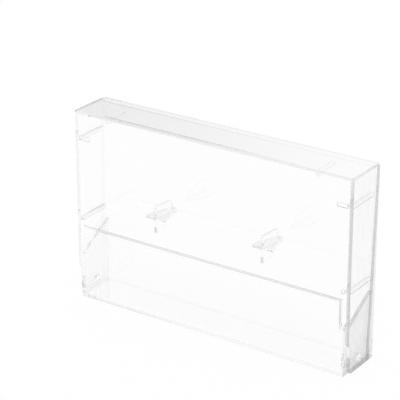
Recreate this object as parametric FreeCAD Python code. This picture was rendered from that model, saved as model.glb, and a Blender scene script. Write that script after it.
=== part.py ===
import FreeCAD, Part
import math
import os

from FreeCAD import Vector

# Clear cassette case, closed and standing on its spine.
# X runs along the length, Y from the back face to the front face, Z up from the spine.
# The origin is on the floor, under the middle of the case. All lengths are in millimetres.

# Whole case
case_length = 109.0
case_depth = 17.0
case_height = 69.5

# Walls and outer edges
panel_wall = 1.4  # front panel of the cover
cover_wall = 1.2  # spine, flap and pocket ends
tray_wall = 1.2  # back panel, top wall and end walls
edge_round = 0.3  # outer edges of both mouldings
corner_round = 0.8  # upright corners of the tray
panel_corner = 1.0  # four corners of the front panel

# Gaps between the two mouldings
ear_gap = 0.25  # pocket end to the ear outside it
rim_gap = 0.1  # rim of the tray to the front panel that closes it
spine_gap = 0.6  # lower end of an ear, above the face that the case stands on
sweep_gap = 0.3  # ear to the front panel while the tray swings

# Pocket of the cover
flap_height = 26.8
flap_round = 0.45  # upper inner edge of the flap
flap_seam = 0.6  # above the flap, up to the back panel
step_height = 16.8  # where the flap turns narrow
flap_neck = 2.05  # how far each side of the flap steps in there
tab_gap = 0.8  # beside the neck, to the corner tab
tab_seam = 1.0  # above the step, up to the corner tab
slope_gap = 0.2  # behind the back end of each pocket end's slope
slope_top = 25.0  # height of the slope where it meets the front panel

# Hinge
pin_height = 4.0
pin_radius = 1.5
pin_gap = 0.05  # radial clearance in the hole
pin_recess = 0.1  # pin's free end, short of the pocket's inner face
pin_chamfer = 0.3
ear_step = 2.2  # step in an ear's back edge, above the least height at which it swings clear
groove_mouth = 0.7  # depth of the lead-in groove at the flap
groove_end = 0.15  # its depth at the hole

# Snap bumps on the pocket ends, with a dimple for each in the ears
bump_forward = 4.6  # in front of the pin
bump_height = 21.8
bump_run = 1.6  # straight part
bump_round = 0.75
bump_rise = 0.2
dimple_depth = 0.15
dimple_margin = 0.25

# Hub locks on the back panel
hub_spacing = 42.5
hub_height = 37.4
hub_length = 10.2
blade_wall = 1.1
fin_up = 4.4
fin_down = 5.3
fin_side = 4.0
fin_draft = 0.5  # how far a fin draws in before it slants to the tip
tip_half = 1.5
top_fin_length = 8.6
side_fin_length = 2.8
low_fin_length = 5.6
low_fin_end = 1.3  # from the lower fin's long edge to its end near the middle
blade_fillet = 0.75  # in the four corners between the blades

# Ribs that hold the cassette off the end walls and the top wall
end_rib_heights = (29.3, 58.9)
rib_wall = 1.3
rib_rise = 1.4
rib_round = 0.3  # edges of a rib that face the cassette
leg_rise = 1.0
upper_leg = 4.8
rib_stop = 0.8  # short of the tray's rim
top_rib_place = 41.2
top_rib_wall = 1.3
top_rib_rise = 1.2
top_rib_stop = 4.8  # short of the tray's rim

overrun = 1.0  # how far a cut runs past what it cuts
least_edge = 0.001  # two points of an outline nearer than this are one

# Faces and edges that both mouldings share
half_length = case_length / 2
back_y = -case_depth / 2
front_y = case_depth / 2
panel_y = front_y - panel_wall
rim_y = panel_y - rim_gap
tray_y = back_y + tray_wall
flap_y = back_y + cover_wall
ear_x = half_length - tray_wall
pocket_x = ear_x - ear_gap
pocket_in_x = pocket_x - cover_wall
neck_x = pocket_x - flap_neck
tab_x = neck_x + tab_gap
top_z = case_height - tray_wall
panel_foot = flap_height + flap_seam
tab_foot = step_height + tab_seam
hole_radius = pin_radius + pin_gap


def block(x0, x1, y0, y1, z0, z1):
    return Part.makeBox(x1 - x0, y1 - y0, z1 - z0, Vector(x0, y0, z0))


def near(a, b):
    return abs(a - b) < edge_round / 2


def rounded(shape, radius, wanted):
    """The shape with the edges whose middle point is wanted rounded."""
    edges = [e for e in shape.Edges if wanted(e.CenterOfMass)]
    return shape.makeFillet(radius, edges)


def prism(points, along):
    """A straight prism on a closed outline. A point in a tuple with a middle point ends an arc."""
    start = points[0]
    edges = []
    at = start
    for point in points[1:] + [start]:
        if isinstance(point, tuple):
            middle, end = point
            edges.append(Part.Arc(at, middle, end).toShape())
        else:
            end = point
            if not end.isEqual(at, least_edge):
                edges.append(Part.LineSegment(at, end).toShape())
        at = end
    return Part.Face(Part.Wire(edges)).extrude(along)


def mirrored(shape):
    return shape.mirror(Vector(0, 0, 0), Vector(1, 0, 0))


def joined(first, rest):
    return first.fuse(rest).removeSplitter()


def rod(radius, x0, x1, y, z):
    return Part.makeCylinder(radius, x1 - x0, Vector(x0, y, z), Vector(1, 0, 0))


# Cover: front panel, spine, pocket flap and two pocket ends in one moulding


def pocket_shell():
    outer = block(-pocket_x, pocket_x, back_y, front_y, 0, flap_height)
    outer = rounded(outer, edge_round, lambda m: near(m.y, back_y))
    hollow = block(-pocket_in_x, pocket_in_x, flap_y, panel_y, cover_wall, flap_height + overrun)
    return outer.cut(hollow)


def pocket_end_waste():
    """What is cut off one end of the pocket: the flap's neck and the space above the slope."""
    x = neck_x
    outline = [
        Vector(x, back_y - overrun, step_height),
        Vector(x, flap_y + slope_gap, step_height),
        Vector(x, panel_y, slope_top),
        Vector(x, panel_y, flap_height + overrun),
        Vector(x, back_y - overrun, flap_height + overrun),
    ]
    return prism(outline, Vector(pocket_x - neck_x + overrun, 0, 0))


def lead_in_groove():
    """The ramp on a pocket end that the pin rides up when the two mouldings are snapped together."""
    z = pin_height - hole_radius
    outline = [
        Vector(pocket_x + overrun, back_y - overrun, z),
        Vector(pocket_x - groove_mouth, back_y - overrun, z),
        Vector(pocket_x - groove_mouth, back_y, z),
        Vector(pocket_x - groove_end, 0, z),
        Vector(pocket_x + overrun, 0, z),
    ]
    return prism(outline, Vector(0, 0, 2 * hole_radius))


def snap_bar(grow):
    """A bar with round ends, parallel to the slope, whose side stands out of the pocket end."""
    slope = Vector(0, panel_y - flap_y - slope_gap, slope_top - step_height).normalize()
    radius = bump_round + grow
    middle = Vector(pocket_x + bump_rise - bump_round, bump_forward, bump_height)
    start = middle - slope * (bump_run / 2)
    end = middle + slope * (bump_run / 2)
    bar = Part.makeCylinder(radius, bump_run, start, slope)
    for place in (start, end):
        bar = bar.fuse(Part.makeSphere(radius, place))
    return bar


def snap_bump():
    keep = block(
        pocket_x - cover_wall / 2, half_length, panel_y - case_depth, panel_y, step_height, slope_top
    )
    return snap_bar(0).common(keep)


def front_panel():
    panel = block(-half_length, half_length, panel_y, front_y, 0, case_height)

    def corner(m):
        return near(abs(m.x), half_length) and (near(m.z, 0) or near(m.z, case_height))

    panel = rounded(panel, panel_corner, corner)
    return rounded(panel, edge_round, lambda m: near(m.y, front_y))


def cover():
    shell = pocket_shell()
    waste = pocket_end_waste()
    groove = lead_in_groove()
    hole = rod(hole_radius, pocket_in_x - overrun, pocket_x + overrun, 0, pin_height)
    for cut in (waste, groove, hole):
        shell = shell.cut(cut).cut(mirrored(cut))
    shell = rounded(shell, flap_round, lambda m: near(m.z, flap_height) and near(m.y, flap_y))
    bump = snap_bump()
    return joined(shell, [front_panel(), bump, mirrored(bump)])


# Tray: back panel, top wall, end walls with ears and pins, hub locks and ribs in one moulding


def tray_shell():
    outer = block(-half_length, half_length, back_y, rim_y, spine_gap, case_height)

    def shown(m):
        back = near(m.y, back_y) and not near(m.z, spine_gap)
        top_end = near(abs(m.x), half_length) and near(m.z, case_height)
        return back or top_end

    outer = rounded(outer, corner_round, lambda m: near(abs(m.x), half_length) and near(m.y, back_y))
    outer = rounded(outer, edge_round, shown)
    low = spine_gap - overrun
    hollow = block(-ear_x, ear_x, tray_y, rim_y + overrun, low, top_z)
    flap_room = block(-tab_x, tab_x, back_y - overrun, tray_y + overrun, low, panel_foot)
    foot_room = block(-ear_x, ear_x, back_y - overrun, tray_y + overrun, low, tab_foot)
    return outer.cut(hollow).cut(flap_room).cut(foot_room)


def ear_waste():
    """What is cut off an end wall so that its ear turns past the front panel on the pin."""
    reach = panel_y - sweep_gap
    drop = pin_height - spine_gap
    foot_half = math.sqrt(reach**2 - drop**2)
    mid_turn = math.asin(drop / reach) / 2
    shoulder = 2 * pin_height + sweep_gap + ear_step
    x = ear_x - overrun

    def point(y, z):
        return Vector(x, y, z)

    def on_round(side):
        return point(side * reach * math.cos(mid_turn), pin_height - reach * math.sin(mid_turn))

    low = spine_gap - overrun
    outline = [
        point(back_y - overrun, low),
        point(back_y - overrun, shoulder - back_y - reach + overrun),
        point(back_y, shoulder - back_y - reach),
        point(-reach, shoulder),
        point(-reach, pin_height),
        (on_round(-1), point(-foot_half, spine_gap)),
        point(foot_half, spine_gap),
        (on_round(1), point(reach, pin_height)),
        point(rim_y, pin_height + rim_y - reach),
        point(rim_y + overrun, pin_height + rim_y - reach),
        point(rim_y + overrun, low),
    ]
    return prism(outline, Vector(tray_wall + 2 * overrun, 0, 0))


def hinge_pin():
    free_end = pocket_in_x + pin_recess
    shank = rod(pin_radius, free_end + pin_chamfer, ear_x + tray_wall / 2, 0, pin_height)
    nose = Part.makeCone(
        pin_radius - pin_chamfer, pin_radius, pin_chamfer, Vector(free_end, 0, pin_height), Vector(1, 0, 0)
    )
    return shank.fuse(nose)


def hub_lock(x):
    """A post of two crossed blades with slanted tips, which holds a cassette's hub still."""
    root = tray_y - tray_wall / 2
    half = blade_wall / 2

    def upright(y, z):
        return Vector(x - half, tray_y + y, hub_height + z)

    def level(side, y):
        return Vector(x + side, tray_y + y, hub_height - half)

    upright_outline = [
        Vector(x - half, root, hub_height - fin_down),
        upright(0, -fin_down),
        upright(low_fin_length, fin_draft - fin_down),
        upright(low_fin_length + low_fin_end, -tip_half),
        upright(hub_length - blade_wall, -half),
        upright(hub_length, half),
        upright(hub_length - blade_wall, tip_half),
        upright(top_fin_length, fin_up - fin_draft),
        upright(0, fin_up),
        Vector(x - half, root, hub_height + fin_up),
    ]
    level_outline = [
        Vector(x - fin_side, root, hub_height - half),
        level(fin_draft - fin_side, side_fin_length),
        level(-tip_half, hub_length),
        level(tip_half, hub_length),
        level(fin_side - fin_draft, side_fin_length),
        Vector(x + fin_side, root, hub_height - half),
    ]
    upright_blade = prism(upright_outline, Vector(blade_wall, 0, 0))
    level_blade = prism(level_outline, Vector(0, 0, blade_wall))
    post = upright_blade.fuse(level_blade)

    def crease(m):
        return near(abs(m.x - x), half) and near(abs(m.z - hub_height), half) and m.y > tray_y

    return rounded(post, blade_fillet, crease)


def end_rib(z, leg):
    """A rib along the end wall with a rounded end, and its leg on the back panel."""
    edge = ear_x - rib_rise
    tip = ear_x - leg
    stop = rim_y - rib_stop
    corner = math.sqrt(0.5)

    def point(x, y):
        return Vector(x, y, z)

    root_x = ear_x + tray_wall / 2
    root_y = tray_y - tray_wall / 2
    leg_bend = point(tip + leg_rise * (1 - corner), tray_y + leg_rise * corner)
    rib_bend = point(ear_x - rib_rise * corner, stop - rib_rise * (1 - corner))
    outline = [
        point(root_x, root_y),
        point(tip, root_y),
        point(tip, tray_y),
        (leg_bend, point(tip + leg_rise, tray_y + leg_rise)),
        point(edge, tray_y + leg_rise),
        point(edge, stop - rib_rise),
        (rib_bend, point(ear_x, stop)),
        point(root_x, stop),
    ]
    rib = prism(outline, Vector(0, 0, rib_wall))
    return rounded(rib, rib_round, lambda m: near(m.x, edge) and not near(m.z, z + rib_wall / 2))


def top_rib():
    """A rib under the top wall with a rounded end."""
    x = top_rib_place - top_rib_wall / 2
    stop = rim_y - top_rib_stop
    low = top_z - top_rib_rise
    corner = math.sqrt(0.5)

    def point(y, z):
        return Vector(x, y, z)

    bend = point(stop - top_rib_rise * (1 - corner), top_z - top_rib_rise * corner)
    root_y = tray_y - tray_wall / 2
    root_z = top_z + tray_wall / 2
    outline = [
        point(root_y, root_z),
        point(root_y, low),
        point(stop - top_rib_rise, low),
        (bend, point(stop, top_z)),
        point(stop, root_z),
    ]
    rib = prism(outline, Vector(top_rib_wall, 0, 0))
    return rounded(rib, rib_round, lambda m: near(m.z, low) and not near(m.x, top_rib_place))


def tray():
    shell = tray_shell()
    ear_cut = ear_waste()
    dimple = snap_bar(dimple_margin).common(
        block(ear_x - overrun, ear_x + dimple_depth, back_y, rim_y, step_height, flap_height)
    )
    for cut in (ear_cut, dimple):
        shell = shell.cut(cut).cut(mirrored(cut))
    low_rib, high_rib = end_rib_heights
    one_side = [
        hinge_pin(),
        hub_lock(hub_spacing / 2),
        end_rib(low_rib, rib_rise + leg_rise),
        end_rib(high_rib, upper_leg),
        top_rib(),
    ]
    return joined(shell, one_side + [mirrored(piece) for piece in one_side])


nodes = {"cover": cover, "tray": tray}
os.makedirs("parts", exist_ok=True)
for name, make in nodes.items():
    shape = make()
    solid = shape.Solids[0]
    print(name, len(shape.Solids), "solid", round(solid.Volume / 1000, 3), "ml", solid.isValid())
    solid.exportStep(os.path.join("parts", name + ".step"))
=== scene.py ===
import bmesh
import bpy
from mathutils import Matrix, Vector

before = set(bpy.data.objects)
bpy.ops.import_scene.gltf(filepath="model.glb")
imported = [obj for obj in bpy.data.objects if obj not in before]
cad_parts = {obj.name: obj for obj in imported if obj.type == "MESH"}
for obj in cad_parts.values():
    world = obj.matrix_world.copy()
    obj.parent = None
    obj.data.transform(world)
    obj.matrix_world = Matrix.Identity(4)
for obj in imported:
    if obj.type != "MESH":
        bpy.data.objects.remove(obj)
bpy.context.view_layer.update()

scene = bpy.context.scene
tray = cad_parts["tray"]
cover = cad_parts["cover"]
toMm = 1000
print("frame loaded:", ", ".join(sorted(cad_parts)))


class Wire:
    # the output of a shader node, on which Python's arithmetic works

    def __init__(self, graph, socket):
        self.graph = graph
        self.socket = socket

    def __getitem__(self, name):
        return Wire(self.graph, self.socket.node.outputs[name])

    def __add__(self, other):
        return self.graph.math("ADD", self, other)

    def __radd__(self, other):
        return self.graph.math("ADD", other, self)

    def __sub__(self, other):
        return self.graph.math("SUBTRACT", self, other)

    def __rsub__(self, other):
        return self.graph.math("SUBTRACT", other, self)

    def __mul__(self, other):
        return self.graph.math("MULTIPLY", self, other)

    def __rmul__(self, other):
        return self.graph.math("MULTIPLY", other, self)

    def __abs__(self):
        return self.graph.math("ABSOLUTE", self)

    def over(self, edge):
        return self.graph.math("GREATER_THAN", self, edge)

    def most(self, other):
        return self.graph.math("MAXIMUM", self, other)

    def soft(self, low, high, atLow=0, atHigh=1):
        # a smooth change from one value to another while this one goes from low to high
        return self.graph.node(
            "MapRange",
            {"interpolation_type": "SMOOTHSTEP"},
            {"Value": self, "From Min": low, "From Max": high, "To Min": atLow, "To Max": atHigh},
        )


class Graph:
    # the nodes of a material or of the world

    def __init__(self, owner):
        owner.use_nodes = True
        self.tree = owner.node_tree
        self.tree.nodes.clear()

    def node(self, kind, settings, sockets):
        made = self.tree.nodes.new("ShaderNode" + kind)
        for name, value in settings.items():
            setattr(made, name, value)
        for name, value in sockets.items():
            if isinstance(value, Wire):
                self.tree.links.new(value.socket, made.inputs[name])
            else:
                made.inputs[name].default_value = value
        return Wire(self, made.outputs[0] if made.outputs else None)

    def math(self, operation, *values):
        return self.node("Math", {"operation": operation}, dict(enumerate(values)))

    def grey(self, level):
        # a colour with the same level in red, green and blue
        return self.node("CombineXYZ", {}, {"X": level, "Y": level, "Z": level})

    def axes(self, coordinates):
        source = self.node("TexCoord", {}, {})
        split = self.node("SeparateXYZ", {}, {"Vector": source[coordinates]})
        return split["X"], split["Y"], split["Z"]

    def cloud(self, x, y, z, size):
        # soft random patches between 0 and 1, about this large along each axis
        spot = self.node("CombineXYZ", {}, {"X": x, "Y": y, "Z": z})
        scaled = self.node("VectorMath", {"operation": "DIVIDE"}, {0: spot, 1: size})
        return self.node("TexNoise", {}, {"Vector": scaled, "Scale": 1.0, "Detail": 2.0})


def plainGrey(level):
    return level, level, level, 1


# Clear plastic, the same for both mouldings

plastic = {
    "index": 1.59,
    "absorbed": 2.0,  # how fast a thick run of it goes grey, per metre
    "shadowPass": 0.97,  # what lamps get through each face
    "trapDepth": 8.5,  # after so many bounces, light is trapped in a wall
    "trapPass": 0.95,  # and what gets out through each face then
}


def clearPlastic(name, shade):
    material = bpy.data.materials.new(name)
    graph = Graph(material)
    x, y, z = [axis * toMm for axis in graph.axes("Object")]
    glass = graph.node(
        "BsdfPrincipled",
        {},
        {
            "Base Color": graph.grey(shade(graph, x, y, z)),
            "Roughness": 0.0,
            "IOR": plastic["index"],
            "Transmission Weight": 1.0,
        },
    )
    path = graph.node("LightPath", {}, {})
    trapped = path["Ray Depth"].over(plastic["trapDepth"])
    lamplit = path["Is Shadow Ray"].most(path["Is Diffuse Ray"])
    wayOut = graph.node("BsdfTransparent", {}, {"Color": plainGrey(plastic["trapPass"])})
    through = graph.node("BsdfTransparent", {}, {"Color": plainGrey(plastic["shadowPass"])})
    body = graph.node("MixShader", {}, {0: trapped, 1: glass, 2: wayOut})
    surface = graph.node("MixShader", {}, {0: lamplit, 1: body, 2: through})
    inside = {"Color": plainGrey(0), "Density": plastic["absorbed"]}
    volume = graph.node("VolumeAbsorption", {}, inside)
    graph.node("OutputMaterial", {}, {"Surface": surface, "Volume": volume})
    return material


# Painted shade: the colour is painted grey along edges and over the walls of one end, where the
# clear case looks dark.
# A single number is how strong it is, or where it lies. A pair says where on the piece, in
# millimetres, a patch begins and where it is full, and two more numbers its share at each.

tintAndPaintedShade = {
    "faces": 0.005,  # the plastic's own slight grey, on every face
    "ends": (-50, 50, 0.12, 1),  # the painted shade grows from the far end to the near one, where it is strongest
    "endFace": (54.3, 54.45),  # outer face of an end
    "rim": 0.5,  # painted shade line along the front rim of an end
    "rimFoot": 0.06,  # and more of it lower down
    "rimFootHeight": (35, 20),
    "rimStart": 4.6,  # how far forward the line is at its foot
    "rimLean": 0.043,  # it leans forward by this much of its height
    "rimHalf": (1.15, 0.85),
}

# Painted shade on the tray: dark lines and patches painted into its colour
trayPaintedShade = {
    "corner": 0.38,  # rounded upright corner at the back
    "cornerSide": (53.4, 53.55),
    "cornerBack": (-7.8, -7.95),
    "cornerHeight": (69, 60, 0.5, 1),
    "wall": 0.1,  # painted shade on the rest of the end wall, in streaky patches
    "streakSize": (4, 1.2, 9),
    "streaks": (0.2, 0.8, 0.4, 1.4),
    "earFoot": 0.42,  # lower end of an ear
    "earSide": (53.2, 53.4),
    "earHeight": (2.7, 2.3),
    "earDepth": (-8, -2, 0.5, 1),
    "topFace": (69.1, 69.3),
    "topFar": (38, -8),  # the line on the top wall and the strip are at the far end
    "topTab": (-43, -41),  # and stop at the tab there
    "topEdge": 0.48,  # line on the top wall above the back panel
    "topEdgePlace": -7.4,
    "topEdgeHalf": (0.5, 0.3),
    "topBack": 0.1,  # strip of the top wall behind that line
    "topBackDepth": (-7.8, -8.0),
    "topRim": 0.35,  # line along the front rim of the top wall
    "topRimPlace": 4.5,
    "topRimHalf": (0.4, 0.2),
    "topRimFar": (30, -50, 0.4, 1),
    "topFarEdge": 0.5,  # far edge of the top wall
    "topFarHeight": (68.9, 69.1),
    "topFarSide": (-53.3, -53.6),
}

# Painted shade on the cover: dark lines and patches painted into its colour
coverPaintedShade = {
    "panelEnd": 0.12,  # end of the front panel
    "panelDepth": (6.9, 7.05),
    "pocket": 0.12,  # painted shade on the pocket end, in patches
    "pocketFoot": 0.1,  # and more of it at its foot
    "pocketFootHeight": (14, 1),
    "pocketSide": (51.6, 51.8),
    "pocketFront": (7.05, 6.9),
    "pocketBack": (-7.2, -7.0),
    "smudgeSize": (3, 2, 5),
    "smudges": (0.2, 0.8, 0.7, 1.3),
    "slope": 0.4,  # slanted top of a pocket end
    "slopeStart": 16.8,  # its height at the back
    "slopeBack": -7.1,
    "slopeRise": 0.577,
    "slopeHalf": (0.3, 0.15),
    "flapSide": 0.25,  # side edges of the flap
    "flapEnd": (50.8, 50.95),
    "flapHeight": (18.6, 19),
    "flapDepth": (-7.2, -7.4),
    "foot": 0.36,  # end of the spine
    "footSide": (52.8, 53.0),
    "footHeight": (1.8, 1.4),
    "spineEdge": 0.16,  # edge of the spine under the flap, toward the far end
    "spineDepth": (-8.0, -8.2),
    "spineHeight": (1.0, 0.8),
    "spineFar": (-5, -30),
}


# a painted shade line along the front rim of an end, leaning forward as it rises
def rimLine(y, z):
    place = tintAndPaintedShade["rimStart"] + tintAndPaintedShade["rimLean"] * z
    strength = tintAndPaintedShade["rim"] + tintAndPaintedShade["rimFoot"] * z.soft(*tintAndPaintedShade["rimFootHeight"])
    return strength * abs(y - place).soft(*tintAndPaintedShade["rimHalf"])


# The tray's colour: white, less a slight grey and the painted shade
def trayShade(graph, x, y, z):
    look = trayPaintedShade
    side = abs(x)
    endWall = side.soft(*tintAndPaintedShade["endFace"])
    corner = look["corner"] * side.soft(*look["cornerSide"]) * y.soft(*look["cornerBack"])
    corner = corner * z.soft(*look["cornerHeight"])
    rim = rimLine(y, z) * endWall
    streaks = graph.cloud(x, y, z, look["streakSize"])
    wall = look["wall"] * endWall * streaks.soft(*look["streaks"])
    earFoot = look["earFoot"] * side.soft(*look["earSide"]) * z.soft(*look["earHeight"])
    earFoot = earFoot * y.soft(*look["earDepth"])
    nearEnd = x.soft(*tintAndPaintedShade["ends"]) * (corner + wall + rim.most(earFoot))
    top = z.soft(*look["topFace"])
    farTop = top * x.soft(*look["topTab"]) * x.soft(*look["topFar"])
    topEdge = look["topEdge"] * farTop * abs(y - look["topEdgePlace"]).soft(*look["topEdgeHalf"])
    topBack = look["topBack"] * farTop * y.soft(*look["topBackDepth"])
    topRim = look["topRim"] * top * abs(y - look["topRimPlace"]).soft(*look["topRimHalf"])
    topRim = topRim * x.soft(*look["topRimFar"])
    farEdge = look["topFarEdge"] * z.soft(*look["topFarHeight"]) * x.soft(*look["topFarSide"])
    return 1 - tintAndPaintedShade["faces"] - nearEnd - (topEdge + topBack).most(topRim).most(farEdge)


# The cover's colour: white, less a slight grey and the painted shade
def coverShade(graph, x, y, z):
    look = coverPaintedShade
    side = abs(x)
    panelFace = side.soft(*tintAndPaintedShade["endFace"]) * y.soft(*look["panelDepth"])
    panelEnd = (panelFace * look["panelEnd"]).most(panelFace * rimLine(y, z))
    pocketFace = side.soft(*look["pocketSide"])
    pocketFace = pocketFace * y.soft(*look["pocketFront"]) * y.soft(*look["pocketBack"])
    smudges = graph.cloud(x, y, z, look["smudgeSize"]).soft(*look["smudges"])
    pocket = look["pocket"] + look["pocketFoot"] * z.soft(*look["pocketFootHeight"])
    pocket = pocketFace * pocket * smudges
    slopeHeight = look["slopeStart"] + (y - look["slopeBack"]) * look["slopeRise"]
    slope = look["slope"] * pocketFace * abs(z - slopeHeight).soft(*look["slopeHalf"])
    flapSide = look["flapSide"] * side.soft(*look["flapEnd"]) * z.soft(*look["flapHeight"])
    flapSide = flapSide * y.soft(*look["flapDepth"])
    foot = look["foot"] * side.soft(*look["footSide"]) * z.soft(*look["footHeight"])
    nearEnd = x.soft(*tintAndPaintedShade["ends"]) * (panelEnd + pocket + slope + flapSide).most(foot)
    spineEdge = look["spineEdge"] * y.soft(*look["spineDepth"]) * z.soft(*look["spineHeight"])
    spineEdge = spineEdge * x.soft(*look["spineFar"])
    return 1 - tintAndPaintedShade["faces"] - spineEdge - nearEnd


for node, name, shade in ((tray, "trayPlastic", trayShade), (cover, "coverPlastic", coverShade)):
    node.data.materials.clear()
    node.data.materials.append(clearPlastic(name, shade))
print("plastic done")

# Floor

floorLook = {
    "reach": 3.0,
    "sides": 64,
    "drop": 0.00008,  # below the case, so that the two faces don't flicker
    "shadow": 0.15,  # how much of the real shading shows in the picture
}

plate = bmesh.new()
bmesh.ops.create_circle(
    plate,
    cap_ends=True,
    segments=floorLook["sides"],
    radius=floorLook["reach"],
    matrix=Matrix.Translation((0, 0, -floorLook["drop"])),
)
floorMesh = bpy.data.meshes.new("floor")
plate.to_mesh(floorMesh)
plate.free()
floor = bpy.data.objects.new("floor", floorMesh)
scene.collection.objects.link(floor)
floorPaint = bpy.data.materials.new("floorPaint")
graph = Graph(floorPaint)
path = graph.node("LightPath", {}, {})
seen = path["Is Camera Ray"].most(path["Is Glossy Ray"]).most(path["Is Transmission Ray"])
white = graph.node("Emission", {}, {"Color": plainGrey(1), "Strength": 1.0})
paint = graph.node("BsdfDiffuse", {}, {"Color": plainGrey(1)})
mix = graph.node("MixShader", {}, {0: 1 - seen * (1 - floorLook["shadow"]), 1: white, 2: paint})
graph.node("OutputMaterial", {}, {"Surface": mix})
floorMesh.materials.append(floorPaint)
print("floor done")

# Studio: white all round, and what the plastic mirrors is grey in places.
# The places are parts of a direction's length, and a pair says where a change begins and ends.

studio = {
    "grey": 0.5,
    "greyHeight": (0.14, 0.24),  # it is white below and grey above
    "sideGrey": 0.85,  # a lighter grey toward the near end of the case
    "sideReach": 0.5,
    "tilt": -0.285,  # the strip and the white above it rise toward the near end
    "stripLow": 0.485,  # the strip that the top wall mirrors goes from grey to light
    "stripHigh": 0.5145,
    "stripSoft": 0.002,
    "stripLight": 0.96,
    "stripTurn": 0.66,  # that change runs at an angle
    "stripChange": (-0.12, 0.13),
    "whiteHeight": (0.560, 0.572),  # it is white again above
    "behind": (0, -0.1),  # behind the camera begins here
    "behindGrey": (0.3, 0.5, 1, 0.7),  # where it is a lighter grey above the white
    "bounces": 24,
}

studioWorld = bpy.data.worlds.new("studio")
scene.world = studioWorld
graph = Graph(studioWorld)
x, y, z = graph.axes("Generated")
path = graph.node("LightPath", {}, {})
mirrored = path["Is Glossy Ray"].most(path["Is Transmission Ray"])
grey = x.soft(0, studio["sideReach"], studio["grey"], studio["sideGrey"])
low = z.soft(*studio["greyHeight"], 1, grey)
height = z + studio["tilt"] * x
blur = studio["stripSoft"]
strip = height.soft(studio["stripLow"] - blur, studio["stripLow"] + blur)
strip = strip * height.soft(studio["stripHigh"] + blur, studio["stripHigh"] - blur)
along = x + studio["stripTurn"] * y
along = along.soft(*studio["stripChange"], studio["grey"], studio["stripLight"])
over = height.soft(*studio["whiteHeight"])
ahead = low.most(over).most(strip * along)
behind = z.soft(*studio["behindGrey"])
level = ahead + y.soft(*studio["behind"]) * (behind - ahead)
level = 1 - mirrored * (1 - level)
background = graph.node("Background", {}, {"Color": graph.grey(level), "Strength": 1.0})
graph.node("OutputWorld", {}, {"Surface": background})
for kind in ("max_bounces", "transmission_bounces", "glossy_bounces"):
    setattr(scene.cycles, kind, studio["bounces"])
scene.view_settings.view_transform = "Standard"
print("studio done")

# Camera, where the photograph was taken from

view = {
    "place": Vector((0.3052, -0.4601, 0.2823)),
    "sight": Vector((-0.5181, 0.7598, -0.3927)),
    "lens": 162.8,
}

lens = bpy.data.cameras.new("camera")
lens.lens = view["lens"]
camera = bpy.data.objects.new("camera", lens)
scene.collection.objects.link(camera)
turn = view["sight"].to_track_quat("-Z", "Y").to_matrix().to_4x4()
camera.matrix_world = Matrix.Translation(view["place"]) @ turn
scene.camera = camera
print("camera done")
